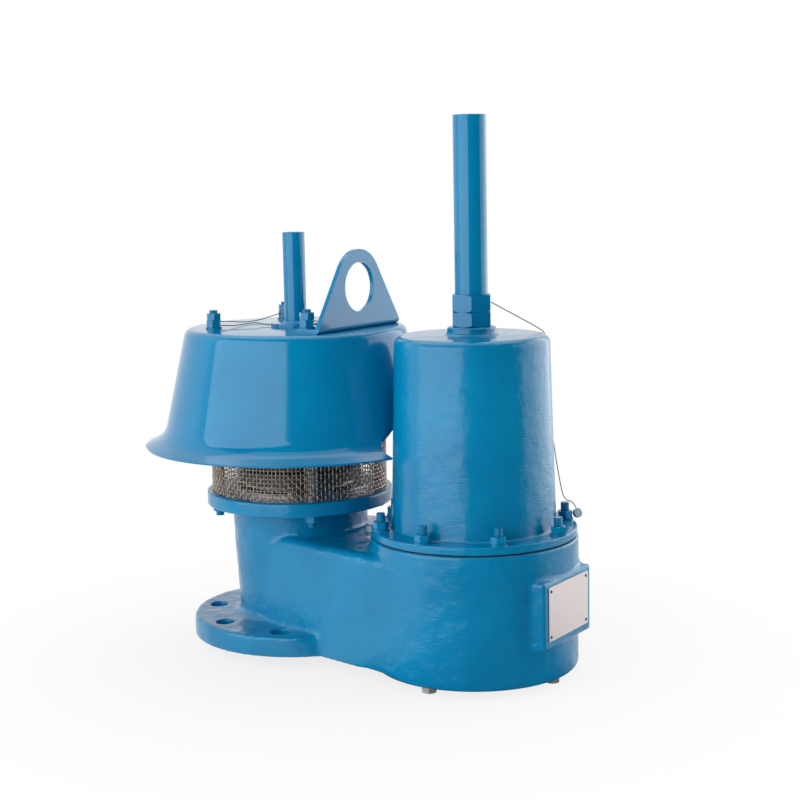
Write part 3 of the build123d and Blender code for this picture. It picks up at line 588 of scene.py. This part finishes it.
for name, outline, axis, finish, slot, stands_for in (
    ("cover_shell", cover_outline, chamber_axis, cast_enamel, "cast_blue_paint", ["cover"]),
    ("hood_tube_shell", hood_tube_outline, column_axis, smooth_enamel, "blue_paint",
     ["hood_guide_tube", "hood_tube_cap"]),
    ("tall_tube_shell", tall_tube_outline, chamber_axis, smooth_enamel, "blue_paint",
     ["guide_tube", "guide_tube_cap"]),
    ("hood_collar_shell", hood_collar_outline, column_axis, smooth_enamel, "blue_paint",
     ["hood_tube_collar"]),
):
    piece = piece_from(name, turned(name, outline, axis), finish)
    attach(piece, "valve_body")
    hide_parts(*stands_for)
    print(name, "faces:", len(piece.data.polygons))

# %% [markdown]
# ## Cast body
# A sand casting has no sharp inner corners. The CAD body is turned into an even skin of small
# squares, and the skin relaxes where the metal stays as cast. Machined faces, bolt holes and the
# nameplate's pad keep their place. A slow noise then gives the low lumps of the mould.

# %% Cast body
skin_square = 0.0014
machined_edge_rounds = 2
cast_rounds = 14
lump_height = 0.0005
most_faces = 190000


def relaxed(points, edges, weight, rounds):
    """Points drawn towards the middle of their neighbours, each by its weight."""
    ends = np.concatenate([edges, edges[:, ::-1]])
    count = np.bincount(ends[:, 0], minlength=len(points))
    for _ in range(rounds):
        middle = np.stack([
            np.bincount(ends[:, 0], points[ends[:, 1], axis], len(points)) / count
            for axis in range(3)
        ], axis=1)
        points = points + weight[:, None] * 0.5 * (middle - points)
    return points


work = bmesh.new()
work.from_mesh(nodes["body_casting"].data)
bmesh.ops.remove_doubles(work, verts=work.verts, dist=1e-6)
welded = bpy.data.meshes.new("welded_body")
work.to_mesh(welded)
work.free()
cast_body = piece_from("cast_body", welded)
skin = cast_body.modifiers.new("skin", "REMESH")
skin.mode, skin.voxel_size = "VOXEL", skin_square
cast_body.data = settled(cast_body)
mesh = cast_body.data
points = np.zeros(len(mesh.vertices) * 3)
mesh.vertices.foreach_get("co", points)
points = points.reshape(-1, 3)
edges = np.zeros(len(mesh.edges) * 2, int)
mesh.edges.foreach_get("vertices", edges)
edges = edges.reshape(-1, 2)
print("skin points:", len(points))


def step(value, low, high):
    """0 below low, 1 above high, straight between."""
    return np.clip((value - low) / (high - low), 0.0, 1.0)


from_column = np.hypot(points[:, 0], points[:, 1])
from_chamber = np.hypot(points[:, 0] - chamber_axis.x, points[:, 1])
height = points[:, 2]
as_cast = step(0.130 - height, 0.0, 0.003)
as_cast *= np.maximum(step(0.114 - height, 0.0, 0.003), step(from_chamber, 0.099, 0.102))
under_chamber = step(from_chamber, 0.115, 0.110) * step(height, -0.003, 0.0)
as_cast *= np.maximum(step(height, 0.001, 0.005), under_chamber)
as_cast *= step(0.3015 - points[:, 0], 0.0, 0.002)
hole_circle = 0.090
for k in range(8):
    a = math.radians(22.5 + 45 * k)
    off = np.hypot(points[:, 0] - hole_circle * math.cos(a), points[:, 1] - hole_circle * math.sin(a))
    as_cast *= np.maximum(step(off, 0.011, 0.015), step(height, 0.024, 0.028))
points = relaxed(points, edges, np.ones(len(points)), machined_edge_rounds)
points = relaxed(points, edges, as_cast, cast_rounds)
mesh.vertices.foreach_set("co", points.ravel())
mesh.update()
normals = np.zeros(len(mesh.vertices) * 3)
mesh.vertices.foreach_get("normal", normals)
normals = normals.reshape(-1, 3)
lumps = np.array([
    random_field.noise(Vector(p) * 60.0) + 0.5 * random_field.noise(Vector(p) * 170.0) for p in points
])
points = points + normals * (lumps * lump_height * as_cast)[:, None]
mesh.vertices.foreach_set("co", points.ravel())
mesh.update()
thin = cast_body.modifiers.new("fewer_faces", "DECIMATE")
thin.ratio = min(1.0, most_faces / (2 * len(mesh.polygons)))
cast_body.data = settled(cast_body)
shade(cast_body.data, 50.0)
cast_body.data.materials.clear()
cast_body.data.materials.append(cast_enamel)
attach(cast_body, "valve_body")
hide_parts("body_casting")
print("body faces:", len(cast_body.data.polygons))

# %% [markdown]
# ## Woven guard
# The guard is a plain weave: each wire goes over and under its neighbours. Both sets of wires
# follow one rule: the push along the radius is the cosine of the place round the ring times the
# sine of the height, outwards for the uprights and inwards for the rings.

# %% Geometry Nodes helpers


def new_tree(name, sizes):
    """Geometry Nodes tree with named number inputs; sizes maps each name to (type, default)."""
    tree = bpy.data.node_groups.new(name, "GeometryNodeTree")
    tree.interface.new_socket("Geometry", in_out="INPUT", socket_type="NodeSocketGeometry")
    tree.interface.new_socket("Geometry", in_out="OUTPUT", socket_type="NodeSocketGeometry")
    for size, (kind, value) in sizes.items():
        socket = tree.interface.new_socket(size, in_out="INPUT", socket_type=kind)
        socket.default_value = value
    return tree, tree.nodes.new("NodeGroupInput"), tree.nodes.new("NodeGroupOutput")


def node(tree, kind, inputs=(), **settings):
    """New node; inputs are (name or number, value or socket) pairs."""
    made = tree.nodes.new(kind)
    for key, value in settings.items():
        setattr(made, key, value)
    for key, value in inputs:
        if isinstance(value, bpy.types.NodeSocket):
            tree.links.new(value, made.inputs[key])
        else:
            made.inputs[key].default_value = value
    return made


def maths(tree, operation, first, second=None):
    """Result of a Math node on sockets or numbers."""
    pairs = [(0, first)] + ([(1, second)] if second is not None else [])
    return node(tree, "ShaderNodeMath", pairs, operation=operation).outputs[0]


def finished(tree, outlet, parts, material):
    """Joins the parts, realizes them, smooths and paints them, and ends the tree."""
    joined = node(tree, "GeometryNodeJoinGeometry")
    for part in parts:
        tree.links.new(part, joined.inputs[0])
    real = node(tree, "GeometryNodeRealizeInstances", [(0, joined.outputs[0])])
    smooth = node(tree, "GeometryNodeSetShadeSmooth", [("Geometry", real.outputs[0])])
    painted = node(tree, "GeometryNodeSetMaterial",
                   [("Geometry", smooth.outputs[0]), ("Material", material)])
    tree.links.new(painted.outputs[0], outlet.inputs[0])


def grown(name, tree, source=None, values=()):
    """Plain mesh that a tree makes; values are (input name, number) pairs."""
    holder = piece_from(name, source if source is not None else bpy.data.meshes.new(name))
    modifier = holder.modifiers.new(name, "NODES")
    modifier.node_group = tree
    for socket_name, value in values:
        socket = next(i for i in tree.interface.items_tree
                      if i.name == socket_name and i.in_out == "INPUT")
        modifier[socket.identifier] = value
    holder.update_tag()
    mesh = settled(holder)
    if holder.type == "MESH":
        holder.data = mesh
        return holder
    bpy.data.objects.remove(holder)
    return piece_from(name, mesh)


# %% Weave
tree, inlet, outlet = new_tree("plain_weave", {
    "Radius": ("NodeSocketFloat", 0.0872),
    "Bottom": ("NodeSocketFloat", 0.147),
    "Pitch": ("NodeSocketFloat", 0.004),
    "Wave": ("NodeSocketFloat", 0.00045),
    "Wire radius": ("NodeSocketFloat", 0.00060),
    "Uprights": ("NodeSocketInt", 138),
    "Rings": ("NodeSocketInt", 40),
})
size = inlet.outputs


def pushed(tree, wires, side):
    """Wires pushed in and out along the radius by the rule of the weave."""
    spot = node(tree, "ShaderNodeSeparateXYZ",
                [(0, node(tree, "GeometryNodeInputPosition").outputs[0])]).outputs
    angle = maths(tree, "ARCTAN2", spot["Y"], spot["X"])
    round_wave = maths(tree, "COSINE",
                       maths(tree, "MULTIPLY", angle, maths(tree, "DIVIDE", size["Uprights"], 2.0)))
    rise = maths(tree, "DIVIDE", maths(tree, "SUBTRACT", spot["Z"], size["Bottom"]), size["Pitch"])
    high_wave = maths(tree, "SINE", maths(tree, "MULTIPLY", rise, math.pi))
    push = maths(tree, "MULTIPLY", maths(tree, "MULTIPLY", round_wave, high_wave),
                 maths(tree, "MULTIPLY", size["Wave"], side))
    outward = node(tree, "ShaderNodeCombineXYZ",
                   [("X", maths(tree, "MULTIPLY", maths(tree, "COSINE", angle), push)),
                    ("Y", maths(tree, "MULTIPLY", maths(tree, "SINE", angle), push))])
    moved = node(tree, "GeometryNodeSetPosition",
                 [("Geometry", wires), ("Offset", outward.outputs[0])])
    line = node(tree, "GeometryNodeMeshToCurve", [("Mesh", moved.outputs[0])])
    section = node(tree, "GeometryNodeCurvePrimitiveCircle",
                   [("Resolution", 4), ("Radius", size["Wire radius"])])
    return node(tree, "GeometryNodeCurveToMesh",
                [("Curve", line.outputs[0]), ("Profile Curve", section.outputs[0])]).outputs[0]


half_pitch = maths(tree, "DIVIDE", size["Pitch"], 2.0)
first_ring = maths(tree, "ADD", size["Bottom"], half_pitch)
upright = node(tree, "GeometryNodeMeshLine", [
    ("Count", maths(tree, "ADD", maths(tree, "MULTIPLY", size["Rings"], 2.0), 1.0)),
    ("Start Location", node(tree, "ShaderNodeCombineXYZ", [("Z", size["Bottom"])]).outputs[0]),
    ("Offset", node(tree, "ShaderNodeCombineXYZ", [("Z", half_pitch)]).outputs[0]),
])
feet = node(tree, "GeometryNodeMeshCircle",
            [("Vertices", size["Uprights"]), ("Radius", size["Radius"])])
uprights = node(tree, "GeometryNodeInstanceOnPoints",
                [("Points", feet.outputs[0]), ("Instance", upright.outputs[0])])
ring = node(tree, "GeometryNodeMeshCircle",
            [("Vertices", maths(tree, "MULTIPLY", size["Uprights"], 2.0)), ("Radius", size["Radius"])])
levels = node(tree, "GeometryNodeMeshLine", [
    ("Count", size["Rings"]),
    ("Start Location", node(tree, "ShaderNodeCombineXYZ", [("Z", first_ring)]).outputs[0]),
    ("Offset", node(tree, "ShaderNodeCombineXYZ", [("Z", size["Pitch"])]).outputs[0]),
])
rings = node(tree, "GeometryNodeInstanceOnPoints",
             [("Points", levels.outputs[0]), ("Instance", ring.outputs[0])])
wires = [
    pushed(tree, node(tree, "GeometryNodeRealizeInstances", [(0, set_of.outputs[0])]).outputs[0], side)
    for set_of, side in ((uprights, 1.0), (rings, -1.0))
]
finished(tree, outlet, wires, woven_steel)
woven_guard = grown("woven_guard", tree)
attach(woven_guard, "valve_body")
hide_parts("mesh_guard")
print("weave faces:", len(woven_guard.data.polygons))

# %% [markdown]
# ## Seal wires
# Thin wires of two twisted strands run from nut to nut on the hood, to the collar of its tube, and
# from the tube socket over the cover to the lead seal. A soft wire bends evenly, so each route is a
# short list of points, which steer a smooth NURBS spline. Two strands then wind about that line.

# %% Wire routes in mm
nut_reach, nut_touch = 57.665, 7.1
bare_nut, lug_nut = 314.0, 318.5
hood_low, lug_low = 309.75, 314.25
nut_side = math.radians(30)
side_x, side_y = nut_touch * math.cos(nut_side), nut_touch * math.sin(nut_side)
collar_reach, collar_height = 25.6, 310.75
over_stud = 145.15
seal_up = Vector((-0.38, 0.18, 0.91)).normalized()
seal_reach = 5.1


def about(axis, radius, angle, z):
    """Point in mm at a radius and an angle in degrees about a vertical axis."""
    turn = math.radians(angle)
    return Vector((axis.x / millimetre + radius * math.cos(turn), radius * math.sin(turn), z))


left_pair = [
    (-nut_reach, -nut_reach + nut_touch, bare_nut + 1.5),
    (-nut_reach - 2, -nut_reach + 25, bare_nut),
    (-nut_reach - 5, -8, hood_low + 1),
    (-nut_reach - 4, 14, hood_low + 0.6),
    (-nut_reach - 1, nut_reach - 22, bare_nut - 0.4),
    (-nut_reach, nut_reach - nut_touch, bare_nut + 1.5),
]
to_collar = [
    (-nut_reach + side_x, -nut_reach + side_y, bare_nut - 2),
    (-nut_reach + 14, -nut_reach + 13, hood_low + 1.2),
    (-nut_reach + 19, -nut_reach + 26, hood_low + 2.4),
    (-nut_reach + 22, -nut_reach + 38, hood_low + 2.8),
    (-nut_reach + 28, -nut_reach + 43, hood_low + 1.2),
    about(column_axis, collar_reach, 214, collar_height),
]
right_pair = [
    (nut_reach, -nut_reach + nut_touch, lug_nut + 1.5),
    (nut_reach + 1, -nut_reach + 25, lug_nut - 0.6),
    (nut_reach + 2, -6, lug_low + 0.8),
    (nut_reach + 1.6, 16, lug_low + 0.5),
    (nut_reach + 0.6, nut_reach - 22, lug_nut - 0.8),
    (nut_reach, nut_reach - nut_touch, lug_nut + 1.5),
]
right_return = [
    (nut_reach + side_x, -nut_reach + side_y, lug_nut - 1.5),
    (nut_reach + 8, -nut_reach + 22, lug_low + 1),
    (nut_reach + 9.4, -10, lug_low + 0.3),
    (nut_reach + 9.4, 13, lug_low + 0.4),
    (nut_reach + 8.2, nut_reach - 20, lug_low + 1.1),
    (nut_reach + side_x, nut_reach - side_y, lug_nut - 1.5),
]
over_cover = [
    about(chamber_axis, *point) for point in (
        (18.1, 31, 337.9), (30, 38, 331), (50, 46, 320), (64.4, 50, 312.4), (76.0, 52, 305),
        (76.6, 51, 270), (76.1, 49, 235), (79.0, 46, 200), (84.4, 45, over_stud + 20),
        (88.4, 45, over_stud + 1.6), (97.4, 44.6, over_stud - 0.5))
]
over_cover.append(about(chamber_axis, 101.2, 43.8, 133.5) + seal_up * seal_reach)


def soft_lines(name, routes):
    """Mesh of edges along one smooth spline for each route."""
    curve = bpy.data.curves.new(name, "CURVE")
    curve.dimensions = "3D"
    for route in routes:
        spline = curve.splines.new("NURBS")
        spline.points.add(len(route) - 1)
        for point, corner in zip(spline.points, route):
            point.co = (*(Vector(corner) * millimetre), 1.0)
        spline.order_u = 3
        spline.use_endpoint_u = True
        spline.resolution_u = 16
    holder = piece_from(name, curve)
    lines = settled(holder)
    bpy.data.objects.remove(holder)
    return lines


# %% Twisted wires
tree, inlet, outlet = new_tree("twisted_pair", {
    "Strand radius": ("NodeSocketFloat", 0.0003),
    "Lay": ("NodeSocketFloat", 0.0032),
    "Step": ("NodeSocketFloat", 0.0004),
})
size = inlet.outputs
route = node(tree, "GeometryNodeMeshToCurve", [("Mesh", size["Geometry"])])
even = node(tree, "GeometryNodeResampleCurve",
            [("Curve", route.outputs[0]), ("Length", size["Step"])], mode="LENGTH")
along = node(tree, "GeometryNodeSplineParameter").outputs["Length"]
turns = maths(tree, "MULTIPLY", maths(tree, "DIVIDE", along, size["Lay"]), 2 * math.pi)
twisted = node(tree, "GeometryNodeSetCurveTilt", [("Curve", even.outputs[0]), ("Tilt", turns)])
strand = node(tree, "GeometryNodeCurvePrimitiveCircle",
              [("Resolution", 6), ("Radius", size["Strand radius"])])
pair = node(tree, "GeometryNodeJoinGeometry")
for side in (-1.0, 1.0):
    aside = maths(tree, "MULTIPLY", size["Strand radius"], side)
    shift = node(tree, "ShaderNodeCombineXYZ", [("X", aside)])
    moved = node(tree, "GeometryNodeTransform",
                 [("Geometry", strand.outputs[0]), ("Translation", shift.outputs[0])])
    tree.links.new(moved.outputs[0], pair.inputs[0])
strands = node(tree, "GeometryNodeCurveToMesh",
               [("Curve", twisted.outputs[0]), ("Profile Curve", pair.outputs[0]), ("Fill Caps", True)])
finished(tree, outlet, [strands.outputs[0]], wire_steel)
for name, stands_for, routes in (
    ("hood_wires", "hood_seal_wires", [left_pair, to_collar, right_pair, right_return]),
    ("cover_wire", "cover_seal_wire", [over_cover]),
):
    wires = grown(name, tree, soft_lines(f"{name}_line", routes))
    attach(wires, "valve_body")
    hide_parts(stands_for)
    print(name, "faces:", len(wires.data.polygons))
